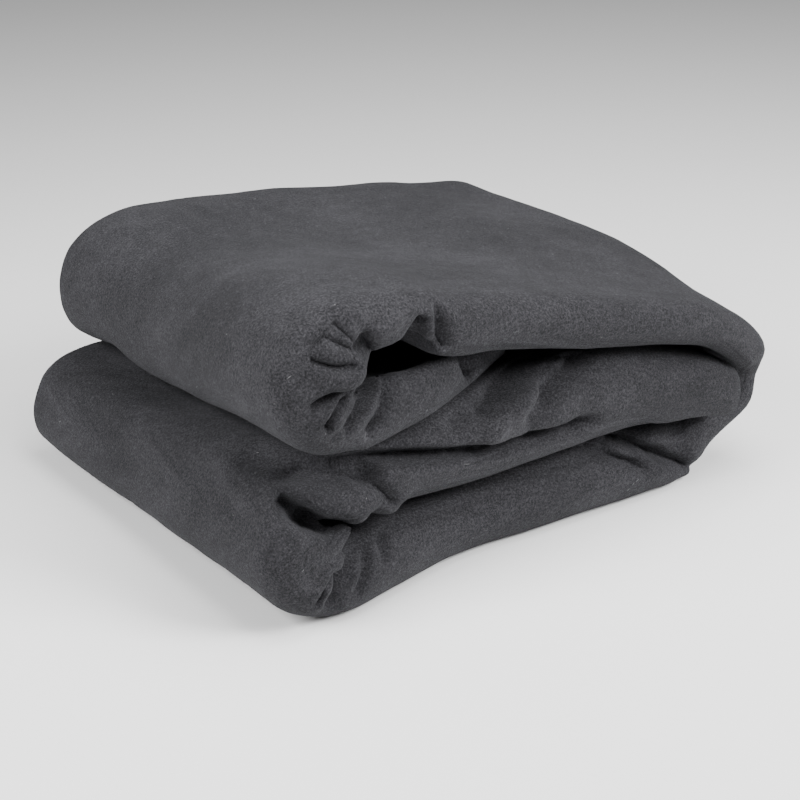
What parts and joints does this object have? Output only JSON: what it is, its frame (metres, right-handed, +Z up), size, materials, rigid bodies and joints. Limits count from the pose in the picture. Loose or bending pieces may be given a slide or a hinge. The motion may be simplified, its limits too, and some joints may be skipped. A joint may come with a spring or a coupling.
{
  "type": "welding blanket",
  "caption": "Charcoal carbonised-felt welding blanket, folded in four and turned over itself into a soft square pile.",
  "frame": {"origin": "middle of the folded pile's own box, on the surface it lies on", "axes": "+X along the passes, from the two fat bends towards the single wide turn; +Y from the rounded front folds to the back, where the cut edges are; +Z up"},
  "size_m": [0.5314, 0.4283, 0.2497],
  "materials": {
    "carbon_felt": "matt"
  },
  "bodies": {
    "root": {"blanket_cloth": "carbon_felt"}
  },
  "joints": []
}
